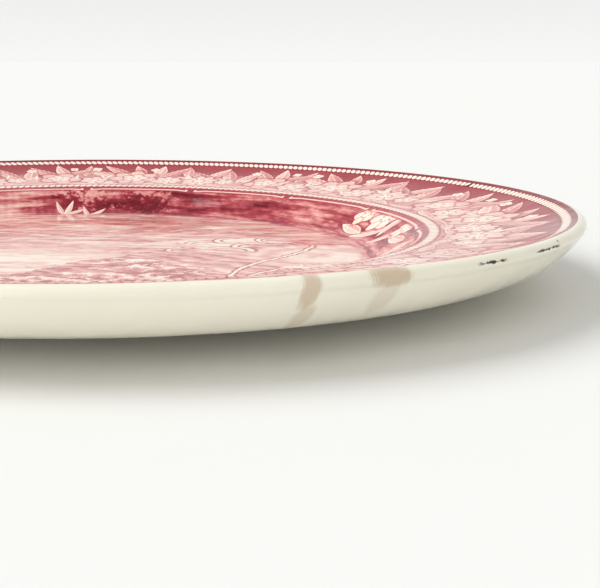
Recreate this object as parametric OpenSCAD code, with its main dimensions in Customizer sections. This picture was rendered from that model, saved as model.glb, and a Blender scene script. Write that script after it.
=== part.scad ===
// Oval china serving platter: a thick earthenware body on a low foot ring, a transfer-printed
// border laid in strips, a printed centre, and a clear glaze over all but the foot's edge.
// The origin is the centre of the oval on the table, +X along the length and +Z up.

/* [Outline] */
// Overall length over the lip, along X
platter_length = 406; // [380:1:430]
// Overall width as a share of the length
width_ratio = 0.786; // [0.74:0.002:0.84]
// Height from the table to the crest of the lip
platter_height = 30; // [29:0.5:34]

/* [Lip] */
// Radius of the rolled lip, from its ridge to its crest
lip_roll = 3; // [2:0.25:3.5]
// Angle that the roll turns past its crest before the rim starts
lip_turn = 24; // [18:1:30]

/* [Rim and well] */
// Width of the rim at the ends of the oval, from crest to shoulder
rim_width = 54; // [50:1:58]
// Fall of the rim from crest to shoulder
rim_fall = 9.5; // [8:0.25:11]
// Slope of the rim where it meets the shoulder
rim_slope = 0.087; // [0.05:0.001:0.12]
// Width of the curved wall between the shoulder and the flat of the well
cavetto_width = 29; // [25:1:33]
// Thickness of body and glaze in the middle of the well
floor_thickness = 5.3; // [4.5:0.1:6.5]

/* [Underside] */
// Steepness of the outer wall just below the lip's ridge, in degrees
wall_steepness = 60; // [54:1:64]
// Radius of the outer wall's curve
wall_radius = 34; // [30:1:36]
// Slope of the underside between the outer wall and the foot
under_slope = 0.13; // [0.11:0.005:0.14]

/* [Foot ring] */
// Half length of the oval foot ring, to the outside of its edge
foot_half_length = 119; // [114:1:124]
// Width of the foot ring's edge
foot_width = 6; // [5:0.5:8]
// Depth of the recess inside the foot ring
foot_depth = 3.2; // [2.8:0.1:3.5]

/* [Print and glaze] */
// Thickness of the printed colour
ink_thickness = 0.12; // [0.1:0.01:0.16]
// Thickness of the clear glaze over the print
glaze_thickness = 0.3; // [0.25:0.01:0.4]
// Angle past the crest of the lip at which the printed border starts
print_turn = 6; // [0:1:12]
// Distance that the printed border reaches below the shoulder
print_reach = 3; // [2:0.25:5]
// Direction of the first joint between two border strips, in degrees
first_joint = 35.5; // [0:0.5:44]

/* [Hidden] */
$fn = 96;
strip_count = 8;
curve_steps = 14;
skin = ink_thickness + glaze_thickness;

// Lip, shoulder and well, as radii along X and heights over the table
lip_r = platter_length / 2;
crest_r = lip_r - lip_roll;
ridge_z = platter_height - lip_roll;
shoulder_r = crest_r - rim_width;
shoulder_z = platter_height - rim_fall;
well_r = shoulder_r - cavetto_width;
well_z = foot_depth + floor_thickness;
print_end_r = shoulder_r - print_reach;

// Foot ring: its edge is bare up to bare_z, and its sides lean away from the edge
bare_z = 1.2;
edge_round = 1;
foot_lean = 1.5;
foot_inner_r = foot_half_length - foot_width;

// A point on the rolled lip, from 0 degrees at the ridge past 90 degrees at the crest
function roll_point(a) = [crest_r + lip_roll * cos(a), ridge_z + lip_roll * sin(a)];
rim_start = roll_point(90 + lip_turn);

// Height of the front surface at radius r, from the rolled lip in to the middle
function rim_z(r) =
    let (span = rim_start.x - shoulder_r)
    let (u = (r - shoulder_r) / span)
    let (gentle = rim_slope * span)
    shoulder_z + gentle * u + (rim_start.y - shoulder_z - gentle) * pow(u, 4);
function cavetto_z(r) =
    let (t = (r - well_r) / cavetto_width)
    let (ease = 3 * t * t - 2 * t * t * t)
    let (lift = rim_slope * cavetto_width * (t * t * t - t * t))
    well_z + (shoulder_z - well_z) * ease + lift;
function front_z(r) = r > shoulder_r ? rim_z(r) : cavetto_z(r);
function front_line(r1, r2, steps) =
    [for (i = [1 : steps]) let (r = r1 + (r2 - r1) * i / steps) [r, front_z(r)]];

// Outer wall and underside: an arc below the ridge, then a straight slope to the foot
under_angle = atan(under_slope);
function wall_point(a) = [lip_r - wall_radius * (sin(wall_steepness) - sin(a)),
                          ridge_z - wall_radius * (cos(a) - cos(wall_steepness))];
wall_end = wall_point(under_angle);
foot_top_r = foot_half_length + foot_lean;
foot_top_z = wall_end.y - under_slope * (wall_end.x - foot_top_r);

// The section's outside, as stretches that follow on from one another round it, with the
// body on the left: the back from the foot to the ridge, the lip, the border and the centre
back_line = concat(
    [[foot_half_length, bare_z], [foot_top_r, foot_top_z]],
    [for (i = [0 : curve_steps])
        wall_point(under_angle + (wall_steepness - under_angle) * i / curve_steps)]);
lip_line = [for (i = [1 : 8]) roll_point((90 + print_turn) * i / 8)];
border_line = concat(
    [roll_point(90 + (print_turn + lip_turn) / 2), rim_start],
    front_line(rim_start.x, shoulder_r, curve_steps),
    [[print_end_r, front_z(print_end_r)]]);
centre_line = concat(front_line(print_end_r, well_r, curve_steps), [[0, well_z]]);
outside = concat(back_line, lip_line, border_line, centre_line);
base_line = [[0, foot_depth], [foot_inner_r - foot_lean, foot_depth], [foot_inner_r, bare_z]];
foot_edge = concat(
    [for (a = [180 : 30 : 270]) [foot_inner_r + edge_round * (1 + cos(a)), edge_round * (1 + sin(a))]],
    [for (a = [270 : 30 : 360]) [foot_half_length - edge_round * (1 - cos(a)), edge_round * (1 + sin(a))]]);

// Where the stretches end on the outside line
ridge = len(back_line) - 1;
print_start = ridge + len(lip_line);
print_joint = print_start + len(border_line);
middle = len(outside) - 1;

// A line moved in towards the body, square to its own direction
function unit(v) = v / norm(v);
function heading(line, i) =
    let (last = len(line) - 1)
    let (before = i > 0 ? unit(line[i] - line[i - 1]) : [0, 0])
    let (after = i < last ? unit(line[i + 1] - line[i]) : [0, 0])
    unit(before + after);
function inset(line, depth) =
    [for (i = [0 : len(line) - 1]) line[i] + depth * [-heading(line, i).y, heading(line, i).x]];
function stretch(line, first, last) = [for (i = [first : last]) line[i]];
function turned(line) = [for (i = [len(line) - 1 : -1 : 0]) line[i]];

glaze_inside = inset(outside, glaze_thickness);
body_outside = inset(outside, skin);
function print_section(first, last) =
    concat(stretch(glaze_inside, first, last), turned(stretch(body_outside, first, last)));

// The print's strips are equally long round the oval, so their angles are not quite equal
oval_skew = (1 - width_ratio * width_ratio) / (1 + width_ratio * width_ratio) * 45 / PI;
function joint_angle(i) =
    let (s = first_joint + 360 / strip_count * i)
    s + oval_skew * sin(2 * s);

// A whole oval, turned as four quarters that meet along X and Y
module oval(section) {
    for (quarter = [0 : 90 : 270])
        oval_sector(section, quarter, quarter + 90);
}

// The part of an oval between two angles, which are those of the circle before it is narrowed
module oval_sector(section, from, to) {
    scale([1, width_ratio, 1])
    rotate([0, 0, from]) rotate_extrude(angle = to - from) polygon(section);
}

module biscuit_body() {
    color([0.9, 0.86, 0.77])
    oval(concat(body_outside, inset(base_line, skin), [[foot_inner_r, bare_z]], foot_edge,
                [[foot_half_length, bare_z]]));
}

module front_glaze() {
    color([0.97, 0.95, 0.88])
    oval(concat(stretch(outside, ridge, middle),
                turned(stretch(glaze_inside, print_start, middle)),
                turned(stretch(body_outside, ridge, print_start))));
}

module back_glaze() {
    color([0.94, 0.92, 0.83])
    oval(concat(stretch(outside, 0, ridge), turned(stretch(body_outside, 0, ridge))));
}

module base_glaze() {
    color([0.94, 0.92, 0.83])
    oval(concat(base_line, turned(inset(base_line, skin))));
}

module centre_print() {
    color([0.86, 0.62, 0.62])
    oval(print_section(print_joint, middle));
}

module border_print(i) {
    color([0.66, 0.24, 0.3])
    oval_sector(print_section(print_start, print_joint), joint_angle(i - 1), joint_angle(i));
}

biscuit_body();
front_glaze();
back_glaze();
base_glaze();
centre_print();
border_print(1);  // border_print_1
border_print(2);  // border_print_2
border_print(3);  // border_print_3
border_print(4);  // border_print_4
border_print(5);  // border_print_5
border_print(6);  // border_print_6
border_print(7);  // border_print_7
border_print(8);  // border_print_8
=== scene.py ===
"""Oval china serving platter: its print, glaze and wear, laid round the fired clay body."""
import math

import bpy
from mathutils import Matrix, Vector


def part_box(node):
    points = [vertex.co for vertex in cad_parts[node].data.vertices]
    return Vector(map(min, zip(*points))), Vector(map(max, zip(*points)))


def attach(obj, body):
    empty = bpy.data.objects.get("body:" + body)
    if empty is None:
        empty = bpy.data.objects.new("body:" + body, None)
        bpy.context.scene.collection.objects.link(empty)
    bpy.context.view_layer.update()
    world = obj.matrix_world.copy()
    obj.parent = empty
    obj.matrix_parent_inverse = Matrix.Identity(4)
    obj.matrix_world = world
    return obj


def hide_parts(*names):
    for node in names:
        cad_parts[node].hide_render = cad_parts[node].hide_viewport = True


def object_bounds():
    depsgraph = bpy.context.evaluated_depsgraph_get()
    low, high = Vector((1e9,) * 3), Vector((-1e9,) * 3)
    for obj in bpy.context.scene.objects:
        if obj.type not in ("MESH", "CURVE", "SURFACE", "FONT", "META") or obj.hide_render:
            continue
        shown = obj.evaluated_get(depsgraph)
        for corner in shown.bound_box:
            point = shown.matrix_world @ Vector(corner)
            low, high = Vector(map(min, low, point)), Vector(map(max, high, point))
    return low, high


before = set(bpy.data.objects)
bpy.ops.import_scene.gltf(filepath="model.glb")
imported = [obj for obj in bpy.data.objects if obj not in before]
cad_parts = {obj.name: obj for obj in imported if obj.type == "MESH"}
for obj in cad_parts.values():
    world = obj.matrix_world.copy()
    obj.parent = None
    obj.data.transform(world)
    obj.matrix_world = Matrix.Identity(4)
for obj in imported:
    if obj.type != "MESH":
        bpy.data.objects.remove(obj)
cad_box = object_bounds()

# Sizes, in metres. Radii are those of the circle before it is narrowed across its width.
LIP_R = cad_box[1][0]
NARROW = cad_box[1][1] / LIP_R
HEIGHT = cad_box[1][2]

# The rolled lip, and the degrees past its ridge at which the print and the rim start
LIP_ROLL = 0.003
CREST_R = LIP_R - LIP_ROLL
RIDGE_Z = HEIGHT - LIP_ROLL
PRINT_TURN = 96
LIP_TURN = 114

# The rim, the curved wall inside it and the well
RIM_WIDTH = 0.054
RIM_FALL = 0.0095
RIM_SLOPE = 0.087
SHOULDER_R = CREST_R - RIM_WIDTH
SHOULDER_Z = HEIGHT - RIM_FALL
CAVETTO = 0.029
WELL_R = SHOULDER_R - CAVETTO
GLAZE = 0.0003
WELL_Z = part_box("front_glaze")[0][2] + GLAZE
# Where the border's print ends, a little past the shoulder
PRINT_END_R = SHOULDER_R - 0.003
# Thickness of each sheet, a little less than that of print and glaze together
SKIN = 0.0004

# The outer wall, the underside and the foot ring
WALL_STEEP = math.radians(60)
WALL_R = 0.034
UNDER_SLOPE = 0.13
FOOT_R = 0.119
FOOT_INNER_R = 0.113
FOOT_LEAN = 0.0015
FOOT_BARE_Z = 0.0012
BASE_Z = 0.0032

# Edges round the oval, and the border's strips, which are equally long round it
SEGMENTS = 480
STRIPS = 8
FIRST_JOINT = math.radians(35.5)
SKEW = (1 - NARROW**2) / (1 + NARROW**2) / 4


# ---------------------------------------------------------------- section of the platter

def roll_point(degrees):
    """A point on the rolled lip, from 0 at the ridge past 90 at the crest."""
    a = math.radians(degrees)
    return CREST_R + LIP_ROLL * math.cos(a), RIDGE_Z + LIP_ROLL * math.sin(a)


def front_point(r):
    """The front surface at a radius between the well and the rolled lip."""
    if r > SHOULDER_R:
        start_r, start_z = roll_point(LIP_TURN)
        span = start_r - SHOULDER_R
        u = (r - SHOULDER_R) / span
        gentle = RIM_SLOPE * span
        return r, SHOULDER_Z + gentle * u + (start_z - SHOULDER_Z - gentle) * u**4
    t = (r - WELL_R) / CAVETTO
    ease = 3 * t**2 - 2 * t**3
    return r, WELL_Z + (SHOULDER_Z - WELL_Z) * ease + RIM_SLOPE * CAVETTO * (t**3 - t**2)


def wall_point(a):
    """A point on the outer wall's arc, by its slope."""
    r = LIP_R - WALL_R * (math.sin(WALL_STEEP) - math.sin(a))
    return r, RIDGE_Z - WALL_R * (math.cos(a) - math.cos(WALL_STEEP))


def spread(start, end, count):
    """Evenly spaced numbers from start to end."""
    return [start + (end - start) * i / count for i in range(count + 1)]


def lip_line():
    """From the ridge over the crest to the start of the print."""
    return [roll_point(a) for a in spread(0, PRINT_TURN, 12)]


def border_line():
    """From the start of the print down the rim and a little past the shoulder."""
    start_r = roll_point(LIP_TURN)[0]
    rolled = [roll_point(a) for a in spread(PRINT_TURN, LIP_TURN, 3)]
    rim = [front_point(r) for r in spread(start_r, SHOULDER_R, 18)[1:]]
    return rolled + rim + [front_point(r) for r in spread(SHOULDER_R, PRINT_END_R, 2)[1:]]


def centre_line():
    """Down the curved wall and over the well, almost to its middle."""
    cavetto = [front_point(r) for r in spread(PRINT_END_R, WELL_R, 20)]
    return cavetto + [(r, WELL_Z) for r in (0.108, 0.09, 0.065, 0.04, 0.018, 0.006)]


def back_line():
    """From the ridge down the outer wall, in along the underside and down the foot's outside."""
    end = math.atan(UNDER_SLOPE)
    wall = [wall_point(a) for a in spread(WALL_STEEP, end, 20)]
    wall_r, wall_z = wall[-1]
    under = [(r, wall_z - UNDER_SLOPE * (wall_r - r)) for r in (0.164, 0.15, 0.137, 0.127, 0.1225)]
    foot_top = wall_z - UNDER_SLOPE * (wall_r - FOOT_R - FOOT_LEAN)
    foot = [(FOOT_R + FOOT_LEAN * 0.75, foot_top - 0.0003), (FOOT_R, FOOT_BARE_Z)]
    return wall + under + foot


def base_line():
    """From the foot's bare edge up its inside and over the base, almost to its middle."""
    start = FOOT_INNER_R - FOOT_LEAN
    side = [(FOOT_INNER_R, FOOT_BARE_Z), (start + 0.0004, BASE_Z - 0.0006), (start - 0.0006, BASE_Z)]
    return side + [(r, BASE_Z) for r in (0.1, 0.08, 0.055, 0.03, 0.01)]


# ---------------------------------------------------------------- pieces

def start_edit(piece):
    """Edit mode on this piece alone, with all of it selected."""
    bpy.ops.object.select_all(action="DESELECT")
    piece.select_set(True)
    bpy.context.view_layer.objects.active = piece
    bpy.ops.object.mode_set(mode="EDIT")
    bpy.ops.mesh.select_all(action="SELECT")


def end_edit():
    bpy.ops.object.mode_set(mode="OBJECT")


def drawn_oval(name, line, front, closed_middle=False):
    """A sheet drawn from a ring of edges, ring by ring along the line, then narrowed to the oval."""
    bpy.ops.object.select_all(action="DESELECT")
    bpy.ops.mesh.primitive_circle_add(vertices=SEGMENTS, radius=line[0][0], location=(0, 0, line[0][1]))
    piece = bpy.context.object
    piece.name = piece.data.name = name
    bpy.ops.object.transform_apply(location=True, rotation=True, scale=True)
    start_edit(piece)
    for (r, z), (next_r, next_z) in zip(line, line[1:]):
        bpy.ops.mesh.extrude_edges_move(TRANSFORM_OT_translate={"value": (0, 0, next_z - z)})
        bpy.ops.transform.resize(value=(next_r / r, next_r / r, 1), center_override=(0, 0, next_z))
    if closed_middle:
        bpy.ops.mesh.edge_face_add()
        bpy.ops.mesh.poke()
    bpy.ops.mesh.select_all(action="SELECT")
    bpy.ops.transform.resize(value=(1, NARROW, 1), center_override=(0, 0, 0))
    bpy.ops.mesh.normals_make_consistent(inside=False)
    end_edit()
    rise = sum(face.normal.z * face.area for face in piece.data.polygons)
    if (rise > 0) != front:
        start_edit(piece)
        bpy.ops.mesh.flip_normals()
        end_edit()
    return piece


def joint_angle(i):
    """Where a strip starts: the strips are equally long, so their angles are not quite equal."""
    s = FIRST_JOINT + 2 * math.pi / STRIPS * i
    return s + SKEW * math.sin(2 * s)


def cut_strip(whole, i):
    """Strip i of the border, cut out of a copy of the whole ring."""
    bpy.ops.object.select_all(action="DESELECT")
    whole.select_set(True)
    bpy.context.view_layer.objects.active = whole
    bpy.ops.object.duplicate()
    piece = bpy.context.object
    piece.name = piece.data.name = f"border_strip_{i + 1}"
    for angle, ahead in ((joint_angle(i), True), (joint_angle(i + 1), False)):
        start_edit(piece)
        across = (-NARROW * math.sin(angle), math.cos(angle), 0)
        bpy.ops.mesh.bisect(plane_co=(0, 0, 0), plane_no=across, clear_inner=ahead, clear_outer=not ahead)
        end_edit()
    return piece


def thickened(piece):
    """The sheet given its thickness inwards, closed at its edges, and shaded smooth."""
    bpy.ops.object.select_all(action="DESELECT")
    piece.select_set(True)
    bpy.context.view_layer.objects.active = piece
    bpy.ops.object.modifier_add(type="SOLIDIFY")
    wall = piece.modifiers[-1]
    wall.thickness = SKIN
    wall.offset = -1
    wall.use_even_offset = True
    bpy.ops.object.modifier_apply(modifier=wall.name)
    bpy.ops.object.shade_smooth_by_angle(angle=math.radians(35))
    return piece


def placed(piece, material, slot, *nodes):
    """The piece dressed, riding on the one body, and standing for its nodes."""
    piece.data.materials.clear()
    piece.data.materials.append(material)
    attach(piece, "root")
    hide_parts(*nodes)
    return piece


# ---------------------------------------------------------------- numbers over a surface

class Field:
    """A number that varies over a surface: a node's output, with arithmetic that adds nodes."""

    def __init__(self, socket):
        self.socket = socket

    def step(self, operation, *others, first=None):
        node = self.socket.id_data.nodes.new("ShaderNodeMath")
        node.operation = operation
        values = (self, *others) if first is None else (first, self)
        for slot, value in zip(node.inputs, values):
            feed(slot, value)
        return Field(node.outputs[0])

    def __add__(self, other):
        return self.step("ADD", other)

    def __sub__(self, other):
        return self.step("SUBTRACT", other)

    def __mul__(self, other):
        return self.step("MULTIPLY", other)

    def __truediv__(self, other):
        return self.step("DIVIDE", other)

    def __radd__(self, other):
        return self.step("ADD", other)

    def __rmul__(self, other):
        return self.step("MULTIPLY", other)

    def __rsub__(self, other):
        return self.step("SUBTRACT", first=other)

    def __abs__(self):
        return self.step("ABSOLUTE")

    def held(self):
        """Kept between 0 and 1."""
        return self.step("MAXIMUM", 0.0).step("MINIMUM", 1.0)

    def above(self, edge, softness):
        """1 where this is well over the edge, 0 where well under, with a soft step between."""
        return self.step("MULTIPLY_ADD", 1 / softness, 0.5 - edge / softness).held()

    def below(self, edge, softness):
        """1 where this is well under the edge, 0 where well over."""
        return self.step("MULTIPLY_ADD", -1 / softness, 0.5 + edge / softness).held()

    def wave(self):
        return self.step("SINE")


def feed(slot, value):
    """An input linked to a field, or set to a plain value."""
    if isinstance(value, Field):
        slot.id_data.links.new(value.socket, slot)
    else:
        slot.default_value = value


def mix(low, high, share):
    """low where share is 0, high where it is 1."""
    return low + (high - low) * share


def add(tree, kind, inputs=None, **settings):
    """A node with its settings and inputs."""
    node = tree.nodes.new(kind)
    for name, value in settings.items():
        setattr(node, name, value)
    for name, value in (inputs or {}).items():
        feed(node.inputs[name], value)
    return node


def parts_of(vector):
    """The x, y and z of a place."""
    node = add(vector.socket.id_data, "ShaderNodeSeparateXYZ", {"Vector": vector})
    return [Field(output) for output in node.outputs]


def join(tree, x, y, z=0.0):
    node = add(tree, "ShaderNodeCombineXYZ", {"X": x, "Y": y, "Z": z})
    return Field(node.outputs[0])


def along_line(vector, direction, start):
    """How far a place lies along a direction."""
    node = add(vector.socket.id_data, "ShaderNodeVectorMath", operation="DOT_PRODUCT")
    feed(node.inputs[0], vector)
    node.inputs[1].default_value = (*direction, 0)
    return Field(node.outputs["Value"]) - start


def local(vector, centre, turn, size):
    """The x and y of a motif: its centre at 0, turned by degrees, its half size at 1."""
    c, s = math.cos(math.radians(turn)), math.sin(math.radians(turn))
    x_way, y_way = (c / size[0], s / size[0]), (-s / size[1], c / size[1])
    x_start = centre[0] * x_way[0] + centre[1] * x_way[1]
    y_start = centre[0] * y_way[0] + centre[1] * y_way[1]
    return along_line(vector, x_way, x_start), along_line(vector, y_way, y_start)


def shifted(vector, centre, turn, size):
    """Coordinates moved to a centre, turned by degrees and measured in the given half sizes."""
    node = add(vector.socket.id_data, "ShaderNodeMapping", {"Vector": vector}, vector_type="TEXTURE")
    node.inputs["Location"].default_value = (*centre, 0)
    node.inputs["Rotation"].default_value = (0, 0, math.radians(turn))
    node.inputs["Scale"].default_value = (*size, 1)
    return Field(node.outputs[0])


def noise(vector, scale, detail=2.0, rough=0.5, swirl=0.0):
    """Cloudy variation around 0.5."""
    node = add(vector.socket.id_data, "ShaderNodeTexNoise", {"Vector": vector, "Scale": scale})
    node.inputs["Distortion"].default_value = swirl
    node.inputs["Detail"].default_value = detail
    node.inputs["Roughness"].default_value = rough
    return Field(node.outputs[0])


def cells(vector, scale):
    """Distance to the nearest of many scattered points."""
    node = add(vector.socket.id_data, "ShaderNodeTexVoronoi", {"Vector": vector, "Scale": scale})
    return Field(node.outputs["Distance"])


def object_place(tree):
    return Field(add(tree, "ShaderNodeTexCoord").outputs["Object"])


# ---------------------------------------------------------------- motifs of the print

def motif(name, *numbers):
    """A new node group that draws one motif over the tone under it."""
    tree = bpy.data.node_groups.new(name, "ShaderNodeTree")
    for number in ("X", "Y", "Under", *numbers):
        tree.interface.new_socket(number, in_out="INPUT", socket_type="NodeSocketFloat")
    tree.interface.new_socket("Tone", in_out="OUTPUT", socket_type="NodeSocketFloat")
    inputs = tree.nodes.new("NodeGroupInput")
    return tree, [Field(output) for output in inputs.outputs[:-1]]


def finish_motif(tree, tone):
    """The group with its tone led out."""
    feed(tree.nodes.new("NodeGroupOutput").inputs["Tone"], tone)
    return tree


def leaf_motif():
    """A pointed leaf: pale edge, hatched sides and a light midrib, with an engraved shadow."""
    tree, (x, y, under, pale) = motif("leaf", "Pale")
    side = abs(y)
    teeth = (x * 4.5 + side * 0.8).step("PINGPONG", 0.5) * 0.16
    inside = (1 - x * x) * (0.92 - x * 0.22).step("MAXIMUM", 0.5) + teeth - 0.1 - side
    ribs = ((x - side * 0.55) * 21.0).wave() * 0.07
    edge = inside.below(0.2, 0.3) * 0.16
    midrib = side.below(0.075, 0.06) * 0.22
    shade = y.below(0.0, 0.7) * 0.14
    tone = pale + ribs + edge + midrib - shade
    shadow = mix(under, 0.12, inside.above(-0.12, 0.2) * 0.6)
    return finish_motif(tree, mix(shadow, tone, inside.above(0.0, 0.09)))


def blossom_motif():
    """An open flower: lobed petals with soft folds round a pale eye ringed with dots."""
    tree, (x, y, under, petals, pale) = motif("blossom", "Petals", "Pale")
    reach = (x * x + y * y).step("SQRT")
    angle = y.step("ARCTAN2", x)
    lobe = (angle * petals).step("COSINE")
    inside = 0.88 + lobe * 0.11 - reach
    folds = (angle * 31.0).wave() * 0.05 * reach
    between = (lobe + reach * 0.55).below(-0.35, 0.6) * 0.24
    rim = inside.below(0.1, 0.14) * 0.08
    blush = (0.64 - reach) * 0.34
    ring = abs(reach - 0.31).below(0.05, 0.05) * (angle * 11.0).wave().above(0.1, 0.8) * 0.75
    tone = pale + folds + rim + blush + reach.below(0.27, 0.06) * 0.1 - between - ring
    shadow = mix(under, 0.2, inside.above(-0.12, 0.18) * 0.6)
    return finish_motif(tree, mix(shadow, tone, inside.above(0.0, 0.07)))


def clump_motif():
    """A rounded mass of foliage, lit from above, its edge broken into leaves."""
    tree, (x, y, under, leafy, dark) = motif("clump", "Leafy", "Dark")
    reach = (x * x + y * y).step("SQRT")
    inside = 1.0 - reach + (leafy - 0.5) * 2.4
    lit = (leafy + y * 0.1).above(0.54, 0.1) * 0.3
    tone = dark + lit + (leafy - 0.42) * 0.9 + (y - x * 0.4) * 0.14
    return finish_motif(tree, mix(under, tone.held(), inside.above(0.0, 0.1)))


def curl_motif():
    """A curved pale stroke between two fine dark lines, tapering to nothing at both ends."""
    tree, (x, y, under, pale) = motif("curl", "Pale")
    off = abs((x * x + y * y * 0.7).step("SQRT") - 0.75)
    kept = (y + x * 0.8).above(0.3, 0.5)
    edged = mix(under, 0.15, off.below(0.22, 0.1) * kept * 0.7)
    return finish_motif(tree, mix(edged, pale, off.below(0.11, 0.08) * kept))


def drawn(group, place, under, **numbers):
    """One motif from a group, over the tone under it."""
    x, y = place
    node = add(x.socket.id_data, "ShaderNodeGroup", node_tree=group)
    for name, value in {"X": x, "Y": y, "Under": under, **numbers}.items():
        feed(node.inputs[name], value)
    return Field(node.outputs["Tone"])


def oval_ruler():
    """Where a point lies on the oval: its radius, its angle and how far along the strips it is."""
    tree = bpy.data.node_groups.new("oval_ruler", "ShaderNodeTree")
    for name in ("Radius", "Angle", "Along"):
        tree.interface.new_socket(name, in_out="OUTPUT", socket_type="NodeSocketFloat")
    x, y, _ = parts_of(object_place(tree))
    y = y / NARROW
    radius = (x * x + y * y).step("SQRT")
    angle = y.step("ARCTAN2", x)
    even = angle - (angle * 2.0).wave() * SKEW
    along = ((even - FIRST_JOINT) * (STRIPS / (2 * math.pi))).step("FLOORED_MODULO", float(STRIPS))
    out = tree.nodes.new("NodeGroupOutput")
    for name, value in (("Radius", radius), ("Angle", angle), ("Along", along)):
        feed(out.inputs[name], value)
    return tree


def ruled(tree):
    """The radius, angle and place along the strips."""
    node = add(tree, "ShaderNodeGroup", node_tree=RULER)
    return [Field(node.outputs[name]) for name in ("Radius", "Angle", "Along")]


def bead_band(along, beads, depth, centre, half_width, under, gap, slant):
    """A chain of pale slanting beads that touch, with the gap's tone in the notches between them."""
    height = (depth - centre) / half_width
    step = (along * beads + height * slant).step("FRACT") - 0.5
    bead = 1.0 - (step * 1.95) * (step * 1.95) - height * height
    notch = abs(height).below(1.3, 0.25)
    seam = abs(step).above(0.4, 0.14) * 0.56
    return mix(mix(under, gap, notch), 1.05 - seam, bead.above(0.05, 0.24))


# ---------------------------------------------------------------- the border

# Leaves: middle (along, in from the lip), direction in degrees, half length and half width, paleness.
# Lengths are in rim widths, and a negative direction points out towards the lip.
BORDER_LEAVES = (
    ((-1.13, 0.42), -68, (0.27, 0.095), 0.72), ((-0.97, 0.38), -114, (0.24, 0.085), 0.8),
    ((-0.79, 0.45), -40, (0.28, 0.095), 0.7), ((-0.62, 0.34), -80, (0.2, 0.075), 0.78),
    ((-0.45, 0.4), -124, (0.28, 0.09), 0.68), ((-0.29, 0.34), -97, (0.2, 0.085), 0.84),
    ((-0.06, 0.31), -70, (0.18, 0.075), 0.76), ((0.17, 0.34), -46, (0.27, 0.085), 0.72),
    ((0.34, 0.43), -26, (0.3, 0.095), 0.82), ((0.53, 0.33), -102, (0.19, 0.07), 0.74),
    ((0.66, 0.4), -140, (0.25, 0.08), 0.68), ((0.81, 0.34), -78, (0.22, 0.085), 0.82),
    ((0.99, 0.4), -54, (0.28, 0.095), 0.72), ((1.17, 0.46), -104, (0.24, 0.09), 0.78),
    ((-1.02, 0.86), 165, (0.24, 0.06), 0.82), ((-0.6, 0.86), 14, (0.24, 0.06), 0.78),
    ((-0.24, 0.89), 174, (0.24, 0.055), 0.84), ((0.24, 0.9), 8, (0.24, 0.05), 0.78),
    ((0.62, 0.88), -12, (0.24, 0.055), 0.84), ((1.1, 0.88), 6, (0.2, 0.055), 0.8),
)
# Sprigs of narrow white leaves over the flowers
BORDER_SPRIGS = (
    ((0.3, 0.56), 62, (0.13, 0.022), 1.08), ((0.36, 0.54), 104, (0.11, 0.02), 1.08),
    ((0.24, 0.6), 20, (0.1, 0.02), 1.05), ((-0.66, 0.5), -64, (0.12, 0.022), 1.08),
    ((-0.6, 0.54), -20, (0.1, 0.02), 1.05), ((1.13, 0.58), 80, (0.12, 0.022), 1.08),
    ((1.2, 0.6), 38, (0.1, 0.02), 1.05), ((0.66, 0.55), -100, (0.11, 0.022), 1.08),
    ((-1.1, 0.52), 70, (0.11, 0.02), 1.05), ((-0.27, 0.74), -40, (0.1, 0.02), 1.05),
)
# Flowers: middle, turn, radius, petals, paleness
BORDER_FLOWERS = (
    ((-0.02, 0.6), 10, 0.29, 7.0, 0.86), ((-0.03, 0.6), 40, 0.16, 5.0, 0.95),
    ((0.86, 0.64), 25, 0.25, 5.0, 0.84), ((0.87, 0.63), 60, 0.14, 5.0, 0.96),
    ((-0.84, 0.68), 0, 0.23, 9.0, 0.9), ((0.46, 0.72), 15, 0.17, 6.0, 0.92),
    ((-0.45, 0.7), 50, 0.18, 8.0, 0.92), ((-1.17, 0.68), 20, 0.12, 5.0, 0.94),
    ((-0.22, 0.27), 0, 0.055, 4.0, 1.05), ((0.43, 0.26), 30, 0.06, 4.0, 1.05),
    ((-0.66, 0.55), 10, 0.06, 5.0, 1.05), ((0.68, 0.26), 45, 0.05, 4.0, 1.05),
    ((1.14, 0.3), 0, 0.06, 5.0, 1.05), ((0.27, 0.84), 20, 0.07, 5.0, 1.0),
)
STRIP_HALF = 1.27
OUTER_BEADS = 46.0
INNER_BEADS = 32.0


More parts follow.
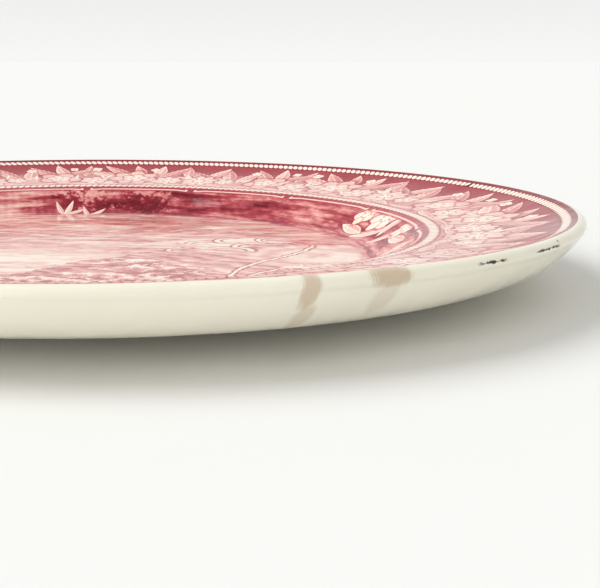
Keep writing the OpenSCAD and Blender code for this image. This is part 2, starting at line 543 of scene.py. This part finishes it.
def border_tone(tree):
    """The printed border's tone, 0 for solid colour and 1 for bare cream."""
    radius, _, along = ruled(tree)
    space = object_place(tree)
    depth = (CREST_R - radius) / (CREST_R - SHOULDER_R)
    across = (along.step("FRACT") - 0.5) * (2 * STRIP_HALF)
    grain = noise(space, 90.0, 3.0, 0.6)
    stipple = cells(space, 1500.0)
    pale = (depth + (grain - 0.5) * 0.3).above(0.47, 0.2)
    cloudy = noise(space, 38.0, 2.0)
    ground = mix(0.25 + stipple * 0.16, 0.28 + cloudy * 0.7 + stipple * 0.12, pale)
    place = join(tree, across, depth)
    tone = ground
    for centre, turn, size, lightness in BORDER_LEAVES:
        tone = drawn(LEAF, local(place, centre, turn, size), tone, Pale=lightness)
    for centre, turn, size, petals, lightness in BORDER_FLOWERS:
        tone = drawn(BLOSSOM, local(place, centre, turn, (size, size)), tone, Petals=petals, Pale=lightness)
    for centre, turn, size, lightness in BORDER_SPRIGS:
        tone = drawn(LEAF, local(place, centre, turn, size), tone, Pale=lightness)
    tone = mix(tone, 0.8, abs(depth - 0.885).below(0.009, 0.006))
    tone = mix(tone, 0.2, depth.below(0.125, 0.014))
    tone = bead_band(along, OUTER_BEADS, depth, 0.08, 0.033, tone, 0.2, 0.22)
    teeth = (along * INNER_BEADS).step("PINGPONG", 0.5) * 0.03
    tone = mix(tone, 0.34, (depth - teeth).above(1.02, 0.01))
    tone = bead_band(along, INNER_BEADS, depth, 0.995, 0.039, tone, 0.4, -0.22)
    tick = abs(along.step("PINGPONG", STRIPS / 2) - (depth - 0.08) * 0.12).below(0.006, 0.004)
    tick = tick * abs(depth - 0.08).below(0.035, 0.012)
    return tone + (grain - 0.5) * 0.1 - tick * 2.5


# ---------------------------------------------------------------- the centre

# Foliage of the centre: middle and half size in half lengths and half widths of the print, darkness
TREE_TOPS = (
    ((0.22, -0.2), (0.09, 0.07), 0.5), ((0.34, -0.3), (0.13, 0.1), 0.46),
    ((0.27, -0.46), (0.17, 0.09), 0.42), ((0.1, -0.55), (0.16, 0.07), 0.42),
    ((-0.1, -0.62), (0.18, 0.08), 0.4), ((-0.36, -0.62), (0.18, 0.1), 0.36),
    ((-0.62, -0.46), (0.13, 0.14), 0.34), ((-0.7, -0.16), (0.12, 0.16), 0.34),
    ((0.62, -0.42), (0.1, 0.08), 0.45), ((0.74, -0.2), (0.09, 0.12), 0.42),
)
# Darker foliage on the curved wall round the well
BOUGHS = (
    ((-0.11, 0.92), (0.1, 0.08), 0.1), ((-0.33, 0.86), (0.1, 0.07), 0.16),
    ((-0.84, 0.46), (0.08, 0.14), 0.2), ((-0.93, 0.1), (0.06, 0.18), 0.16),
    ((-0.9, -0.3), (0.08, 0.2), 0.16), ((-0.68, -0.68), (0.18, 0.1), 0.16),
    ((-0.26, -0.9), (0.24, 0.08), 0.16), ((0.24, -0.92), (0.24, 0.08), 0.16),
    ((0.66, -0.7), (0.18, 0.1), 0.2), ((0.9, -0.3), (0.08, 0.16), 0.26),
)
# Flowers on the wall: middle, turn, radius, petals, paleness
BANK_PLANTS = (
    ((0.84, 0.48), 20, 0.07, 6.0, 0.98), ((0.76, 0.58), 0, 0.05, 5.0, 0.95),
    ((0.92, 0.28), 40, 0.05, 6.0, 0.95), ((0.92, 0.02), 10, 0.055, 5.0, 0.92),
)
# Leaves on the wall: middle, direction, half length and half width, paleness
BANK_LEAVES = (
    ((-0.396, 0.774), 128, (0.05, 0.012), 0.86), ((-0.367, 0.79), 92, (0.056, 0.012), 0.92),
    ((-0.338, 0.777), 56, (0.05, 0.012), 0.86), ((-0.3, 0.79), 122, (0.048, 0.011), 0.86),
    ((-0.26, 0.797), 68, (0.05, 0.012), 0.9),
    ((0.79, 0.42), 150, (0.09, 0.025), 0.85), ((0.88, 0.4), 40, (0.08, 0.022), 0.9),
    ((0.72, 0.52), 120, (0.08, 0.024), 0.86), ((0.8, 0.57), 75, (0.07, 0.02), 0.9),
    ((0.9, 0.2), 110, (0.09, 0.022), 0.86), ((0.86, 0.3), 160, (0.08, 0.02), 0.84),
    ((0.93, -0.08), 95, (0.09, 0.024), 0.82), ((0.88, -0.02), 140, (0.08, 0.022), 0.84),
)
# Pale curved strokes, mist over the water: middle, turn, half sizes
CURLS = (
    ((0.32, 0.2), 60, (0.07, 0.06)), ((0.39, 0.3), 150, (0.07, 0.07)), ((0.42, 0.1), 20, (0.09, 0.07)),
    ((0.47, 0.2), 80, (0.08, 0.06)), ((0.29, 0.06), 95, (0.05, 0.05)), ((0.5, 0.34), 110, (0.07, 0.05)),
)
# Pale rocks by the water: middle, half sizes, paleness
ROCKS = (
    ((0.37, 0.16), (0.07, 0.07), 0.92), ((0.42, 0.3), (0.08, 0.06), 0.9),
    ((0.29, 0.22), (0.06, 0.05), 0.9),
)
# Lanes over the near hill: lean of the lane, and how far back it runs
LANES = ((0.0, 0.28), (0.4, -0.05))
# Runs of the narrow moulding, counted round the oval
FRAME_RUNS = 14.0


def sky_tone(space, x, y):
    """Streaky engraved clouds with a bright patch low down, and the noises that made them."""
    streaks = noise(shifted(space, (0, 0), 16, (1.0, 0.22)), 2.6, 4.0, 0.62, 1.6)
    clouds = noise(shifted(space, (0.3, 0.2), 8, (1.0, 0.55)), 3.6, 4.0, 0.6, 1.2)
    lines = (y * 118.0 + (clouds - 0.5) * 40.0).wave()
    fine = noise(shifted(space, (0, 0), 26, (1.0, 0.14)), 8.0, 3.0, 0.6, 0.8)
    glow_x, glow_y = (x + 0.05) / 0.34, (y + 0.22) / 0.24
    glow = (glow_x * glow_x + glow_y * glow_y).below(0.7, 1.2)
    edges = abs(streaks - 0.5).below(0.012, 0.016)
    tone = 0.92 - streaks.above(0.49, 0.1) * 0.2 - (clouds - 0.4) * 0.6 + lines * 0.05
    tone = tone + fine.above(0.58, 0.06) * 0.18 - fine.below(0.4, 0.06) * 0.2 - edges * 0.16
    return mix(tone, 1.04, glow * (0.95 - streaks.above(0.53, 0.08) * 0.55)), clouds, lines, streaks


def centre_tone(tree):
    """The printed centre's tone: a quiet landscape of sky, hills, lanes, water and trees."""
    radius, angle, along = ruled(tree)
    space = shifted(object_place(tree), (0, 0), 0, (PRINT_END_R, PRINT_END_R * NARROW))
    x, y, _ = parts_of(space)
    leafy = noise(space, 26.0, 4.0, 0.7)
    grain = noise(space, 90.0, 2.0, 0.6)
    sky, clouds, lines, streaks = sky_tone(space, x, y)

    hill = y - 0.33 + (x - 0.62) * (x - 0.62) * 1.9 - (clouds - 0.5) * 0.3 - (leafy - 0.5) * 0.06
    far_hill = y - 0.1 + (x + 0.25) * (x + 0.25) * 0.6 - (streaks - 0.5) * 0.22
    fields = hill.below(0.0, 0.03)
    furrows = ((y + x * 0.32 + (clouds - 0.5) * 0.22) * 96.0).wave()
    field = 0.7 + furrows * 0.13 + (clouds - 0.5) * 0.7 + (leafy - 0.5) * 0.5 + (x - 0.5) * 0.2
    distance = far_hill.below(0.0, 0.02) * far_hill.above(-0.16, 0.3)
    tone = mix(sky, 0.66 + lines * 0.1 + (leafy - 0.5) * 0.5, distance * 0.6)
    tone = mix(tone, field, fields)
    tone = mix(tone, 0.35, abs(hill).below(0.005, 0.008) * 0.8)

    water = (x - 0.72) * (x - 0.72) * 7.0 + (y - 0.08) * (y - 0.08) * 9.0
    ripples = (water * 24.0 + (clouds - 0.5) * 9.0).wave()
    tone = mix(tone, 0.86 + ripples * 0.14, water.below(0.35, 0.2) * 0.8)

    lane_x = 0.53 + (y + 0.35) * 0.16 + (y * 9.5).wave() * 0.025 + (leafy - 0.5) * 0.03
    for lean, end in LANES:
        off_lane = abs(x - lane_x - (y + 0.42) * lean)
        on_lane = y.below(end, 0.04) * y.above(-0.5, 0.04)
        tone = mix(tone, 0.22, off_lane.below(0.012, 0.006) * on_lane * 0.8)
        tone = mix(tone, 1.05, off_lane.below(0.006, 0.005) * on_lane)

    ground = y.below(-0.5, 0.08)
    tone = mix(tone, 0.55 + furrows * 0.12 + (leafy - 0.5) * 0.9, ground)
    for centre, size, dark in ROCKS + TREE_TOPS:
        tone = drawn(CLUMP, local(space, centre, 0, size), tone, Leafy=leafy, Dark=dark)

    wall = (radius / PRINT_END_R).above(0.825, 0.035)
    bands = noise(join(tree, angle * 1.5, radius * 80.0), 2.4, 4.0, 0.62)
    hatch = ((x * 2.2 + y) * 90.0).wave()
    pale_left = x.below(-0.46, 0.16) * y.above(0.25, 0.3)
    wall_tone = 0.3 + (bands - 0.5) * 2.1 + hatch * 0.03 + (leafy - 0.5) * 0.5
    wall_tone = wall_tone + pale_left * 0.36 + x.above(0.45, 0.3) * 0.16
    tone = mix(tone, wall_tone, wall * 0.92)
    for centre, size, dark in BOUGHS:
        tone = drawn(CLUMP, local(space, centre, 0, size), tone, Leafy=leafy, Dark=dark)
    for centre, turn, size in CURLS:
        tone = drawn(CURL, local(space, centre, turn, size), tone, Pale=1.05)
    for centre, turn, size, pale in BANK_LEAVES:
        tone = drawn(LEAF, local(space, centre, turn, size), tone, Pale=pale)
    for centre, turn, size, petals, pale in BANK_PLANTS:
        tone = drawn(BLOSSOM, local(space, centre, turn, (size, size)), tone, Petals=petals, Pale=pale)

    return frame_line(tone, radius, along) + (grain - 0.5) * 0.14


def frame_line(under, radius, along):
    """A narrow moulding just below the shoulder, in runs that end in a small scroll."""
    depth = (PRINT_END_R - radius) / 0.001
    run = abs((along * (FRAME_RUNS / STRIPS)).step("FRACT") - 0.5)
    tone = mix(under, 0.34, depth.below(3.6, 1.2) * 0.8)
    middle = 2.0 + run.above(0.4, 0.1) * 0.7
    line = abs(depth - middle).below(0.55, 0.35) * run.below(0.468, 0.01)
    scroll = (run - 0.455) * (run - 0.455) * 5200.0 + (depth - 2.3) * (depth - 2.3)
    return mix(tone, 0.88, line.step("MAXIMUM", scroll.below(1.1, 0.5)))


# ---------------------------------------------------------------- finishes

# Tones of the print, from solid colour to bare cream
PRINT_COLOURS = (
    (0.0, (0.13, 0.005, 0.011)), (0.2, (0.25, 0.018, 0.032)), (0.4, (0.44, 0.062, 0.08)),
    (0.65, (0.74, 0.31, 0.285)), (0.85, (0.91, 0.59, 0.505)), (1.0, (0.97, 0.85, 0.72)),
)
CREAM = (0.91, 0.875, 0.745, 1)
TANNED_CREAM = (0.74, 0.69, 0.52, 1)
TEA = (0.5, 0.32, 0.18, 1)
SOOT = (0.06, 0.05, 0.04, 1)
# Colour of the painted shade in the crease under the lip's roll
CREASE_SHADE = (0.6, 0.56, 0.45, 1)
CLAY = (0.72, 0.64, 0.5, 1)
RUBBED_CLAY = (0.42, 0.37, 0.3, 1)
GRIT = (0.3, 0.25, 0.19, 1)
PALE_FLOOR = (0.87, 0.87, 0.855, 1)


def new_material(name):
    """A material with its nodes and its shader."""
    material = bpy.data.materials.new(name)
    material.use_nodes = True
    tree = material.node_tree
    shader = next(node for node in tree.nodes if node.type == "BSDF_PRINCIPLED")
    return material, tree, shader


def coloured(tree, stops, tone):
    """Tones turned into colours."""
    node = add(tree, "ShaderNodeValToRGB", {"Fac": tone})
    ramp = node.color_ramp
    ramp.elements[0].position, ramp.elements[0].color = stops[0][0], (*stops[0][1], 1)
    ramp.elements[1].position, ramp.elements[1].color = stops[-1][0], (*stops[-1][1], 1)
    for position, colour in stops[1:-1]:
        ramp.elements.new(position).color = (*colour, 1)
    return Field(node.outputs["Color"])


def blended(tree, low, high, share):
    """A mix of two colours."""
    node = add(tree, "ShaderNodeMix", {"Factor": share}, data_type="RGBA")
    feed(node.inputs["A"], low)
    feed(node.inputs["B"], high)
    return Field(node.outputs["Result"])


def glazed(tree, shader, space, ripple):
    """Gloss of a fired glaze: slow ripples, fine dimples and a few dull patches of wear."""
    slow = noise(space, 34.0, 2.0)
    fine = noise(space, 520.0, 1.0)
    bump = add(tree, "ShaderNodeBump", {"Height": slow * 0.0011 * ripple + fine * 0.00003})
    bump.inputs["Strength"].default_value = 1.0
    bump.inputs["Distance"].default_value = 1.0
    tree.links.new(bump.outputs[0], shader.inputs["Normal"])
    wear = noise(space, 210.0, 4.0, 0.7)
    feed(shader.inputs["Roughness"], 0.07 + wear.above(0.55, 0.25) * 0.09)
    shader.inputs["IOR"].default_value = 1.5
    shader.inputs["Specular IOR Level"].default_value = 0.25


def printed_finish(name, tone_of):
    """A print under its clear glaze."""
    material, tree, shader = new_material(name)
    feed(shader.inputs["Base Color"], coloured(tree, PRINT_COLOURS, tone_of(tree)))
    glazed(tree, shader, object_place(tree), 1.0)
    return material


# Stains on the outer wall: direction and half spread in degrees, height and half height, strength
STAINS = (
    (-50.8, 0.8, 0.0255, 0.0065, 0.55), (-50.4, 0.9, 0.0165, 0.005, 0.34),
    (-43.3, 2.0, 0.028, 0.0034, 0.62), (-43.2, 1.2, 0.0215, 0.0055, 0.24),
    (-47.2, 3.2, 0.0105, 0.0016, 0.3),
)
# Chipped stretches of the ridge: direction and half spread in degrees
CHIPS = ((-31.1, 1.9), (-20.8, 2.6))


def cream_finish():
    """Cream glaze of the lip and the back: soft mottling, tea stains, dark specks, a chipped ridge, and a
    faint line of painted shade in the crease under the lip.
    """
    material, tree, shader = new_material("cream_glaze")
    space = object_place(tree)
    radius, angle, _ = ruled(tree)
    degrees = angle * (180 / math.pi)
    x_side, _, z = parts_of(space)
    mottle = noise(space, 16.0, 4.0, 0.6)
    smudge = noise(space, 95.0, 4.0, 0.65)
    colour = blended(tree, CREAM, TANNED_CREAM, (mottle - 0.35) * 0.8)
    stain = (smudge - 0.62) * 0.35
    drips = noise(join(tree, degrees * 1.6, z * 12.0), 2.4, 3.0, 0.7)
    for middle, reach, height, tall, strength in STAINS:
        off_x = (degrees - middle) / reach
        off_z = (z - height) / tall
        spot = (off_x * off_x + off_z * off_z) * 0.6 + (smudge - 0.5) * 0.9 + (drips - 0.5) * 1.1
        stain = stain.step("MAXIMUM", spot.below(0.6, 0.6) * strength)
    hem = z.below(0.0125, 0.004) * radius.above(0.17, 0.01) * smudge.above(0.55, 0.2) * 0.16
    stain = stain.step("MAXIMUM", hem).held()
    colour = blended(tree, colour, TEA, stain)
    specks = cells(space, 110.0).below(0.06, 0.03) * smudge.above(0.6, 0.04) * 0.7
    ridge = abs(z - RIDGE_Z - 0.001)
    broken = noise(space, 420.0, 2.0, 0.7)
    for middle, reach in CHIPS:
        run = abs(degrees - middle).below(reach, 0.8)
        specks = specks.step("MAXIMUM", run * (ridge + (broken - 0.5) * 0.0016).below(0.0003, 0.0003))
    colour = blended(tree, colour, SOOT, specks)
    # A faint line of painted shade in the crease where the lip's roll meets the outer wall, towards the
    # right-hand end only
    crease_shade = abs(z - RIDGE_Z + 0.0012 + (smudge - 0.5) * 0.0024).below(0.0003, 0.0012)
    colour = blended(tree, colour, CREASE_SHADE, crease_shade * x_side.above(0.1, 0.1) * 0.3)
    feed(shader.inputs["Base Color"], colour)
    glazed(tree, shader, space, 1.3)
    return material


def biscuit_finish():
    """Bare fired clay of the foot's edge, rubbed grey where it has stood."""
    material, tree, shader = new_material("biscuit")
    space = object_place(tree)
    grit = noise(space, 1100.0, 3.0, 0.7)
    rubbed = noise(space, 60.0, 4.0, 0.65)
    colour = blended(tree, CLAY, RUBBED_CLAY, rubbed.above(0.52, 0.3) * 0.7)
    feed(shader.inputs["Base Color"], blended(tree, colour, GRIT, grit.above(0.66, 0.1) * 0.5))
    feed(shader.inputs["Roughness"], 0.75 + grit * 0.2)
    bump = add(tree, "ShaderNodeBump", {"Height": grit * 0.0001})
    bump.inputs["Distance"].default_value = 1.0
    tree.links.new(bump.outputs[0], shader.inputs["Normal"])
    return material


def floor_finish():
    """Plain matt floor."""
    material, tree, shader = new_material("pale_floor")
    shader.inputs["Base Color"].default_value = PALE_FLOOR
    shader.inputs["Roughness"].default_value = 0.9
    shader.inputs["Specular IOR Level"].default_value = 0.1
    return material


# ---------------------------------------------------------------- camera, light and floor

CAMERA_PLACE = (0.1874, -0.3733, 0.087)
CAMERA_FALL = 13.54
CAMERA_TURN = 14.09
CAMERA_LENS = 58.84
CAMERA_SENSOR = 36.0
# The room's tone by height, from level to overhead
ROOM_TONES = (
    (0.0, (0.935, 0.935, 0.92)), (0.055, (0.87, 0.87, 0.855)), (0.3, (0.82, 0.82, 0.81)),
    (1.0, (0.42, 0.42, 0.42)),
)
FLOOR_SIZE = 40


def set_camera():
    """Low over the near side and a little to the right of the middle."""
    data = bpy.data.cameras.new("camera")
    data.sensor_width = CAMERA_SENSOR
    data.lens = CAMERA_LENS
    camera = bpy.data.objects.new("camera", data)
    camera.location = CAMERA_PLACE
    camera.rotation_euler = (math.radians(90 - CAMERA_FALL), 0, math.radians(CAMERA_TURN))
    bpy.context.collection.objects.link(camera)
    bpy.context.scene.camera = camera


def set_world():
    """A pale room, bright round the sides and dimmer overhead."""
    world = bpy.data.worlds.new("pale_room")
    world.use_nodes = True
    tree = world.node_tree
    background = next(node for node in tree.nodes if node.type == "BACKGROUND")
    direction = Field(add(tree, "ShaderNodeTexCoord").outputs["Generated"])
    _, _, up = parts_of(direction)
    feed(background.inputs["Color"], coloured(tree, ROOM_TONES, up))
    background.inputs["Strength"].default_value = 1.0
    bpy.context.scene.world = world


def add_light(name, bearing, lean, spread_angle, power):
    """A broad distant light: its bearing and its lean from overhead, in degrees."""
    data = bpy.data.lights.new(name, "SUN")
    data.angle = math.radians(spread_angle)
    data.energy = power
    lamp = bpy.data.objects.new(name, data)
    lamp.rotation_euler = (math.radians(lean), 0, math.radians(bearing))
    bpy.context.collection.objects.link(lamp)


def add_floor():
    """A plain floor under the foot."""
    bpy.ops.object.select_all(action="DESELECT")
    bpy.ops.mesh.primitive_plane_add(size=FLOOR_SIZE, location=(0, 0, 0))
    floor = bpy.context.object
    floor.name = "floor"
    floor.data.materials.append(floor_finish())


# ---------------------------------------------------------------- the platter

RULER = oval_ruler()
LEAF = leaf_motif()
BLOSSOM = blossom_motif()
CLUMP = clump_motif()
CURL = curl_motif()

cream = cream_finish()
border = printed_finish("border_print", border_tone)
centre = printed_finish("centre_print", centre_tone)

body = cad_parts["biscuit_body"]
body.data.materials.clear()
body.data.materials.append(biscuit_finish())

lip = thickened(drawn_oval("lip_glaze", lip_line(), front=True))
placed(lip, cream, "clear_glaze", "front_glaze")
back = thickened(drawn_oval("back_coat", back_line(), front=False))
placed(back, cream, "cream_glaze", "back_glaze")
base = thickened(drawn_oval("base_coat", base_line(), front=False, closed_middle=True))
placed(base, cream, "cream_glaze", "base_glaze")
scene_print = thickened(drawn_oval("centre_scene", centre_line(), front=True, closed_middle=True))
placed(scene_print, centre, "centre_colour", "centre_print")
ring = drawn_oval("border_ring", border_line(), front=True)
for strip in range(STRIPS):
    piece = thickened(cut_strip(ring, strip))
    placed(piece, border, "border_colour", f"border_print_{strip + 1}")
bpy.data.objects.remove(ring)

set_world()
add_floor()
add_light("key", bearing=-78, lean=40, spread_angle=44, power=1.85)
add_light("low_fill", bearing=-25, lean=74, spread_angle=40, power=0.55)
bpy.context.scene.view_settings.view_transform = "Standard"
set_camera()
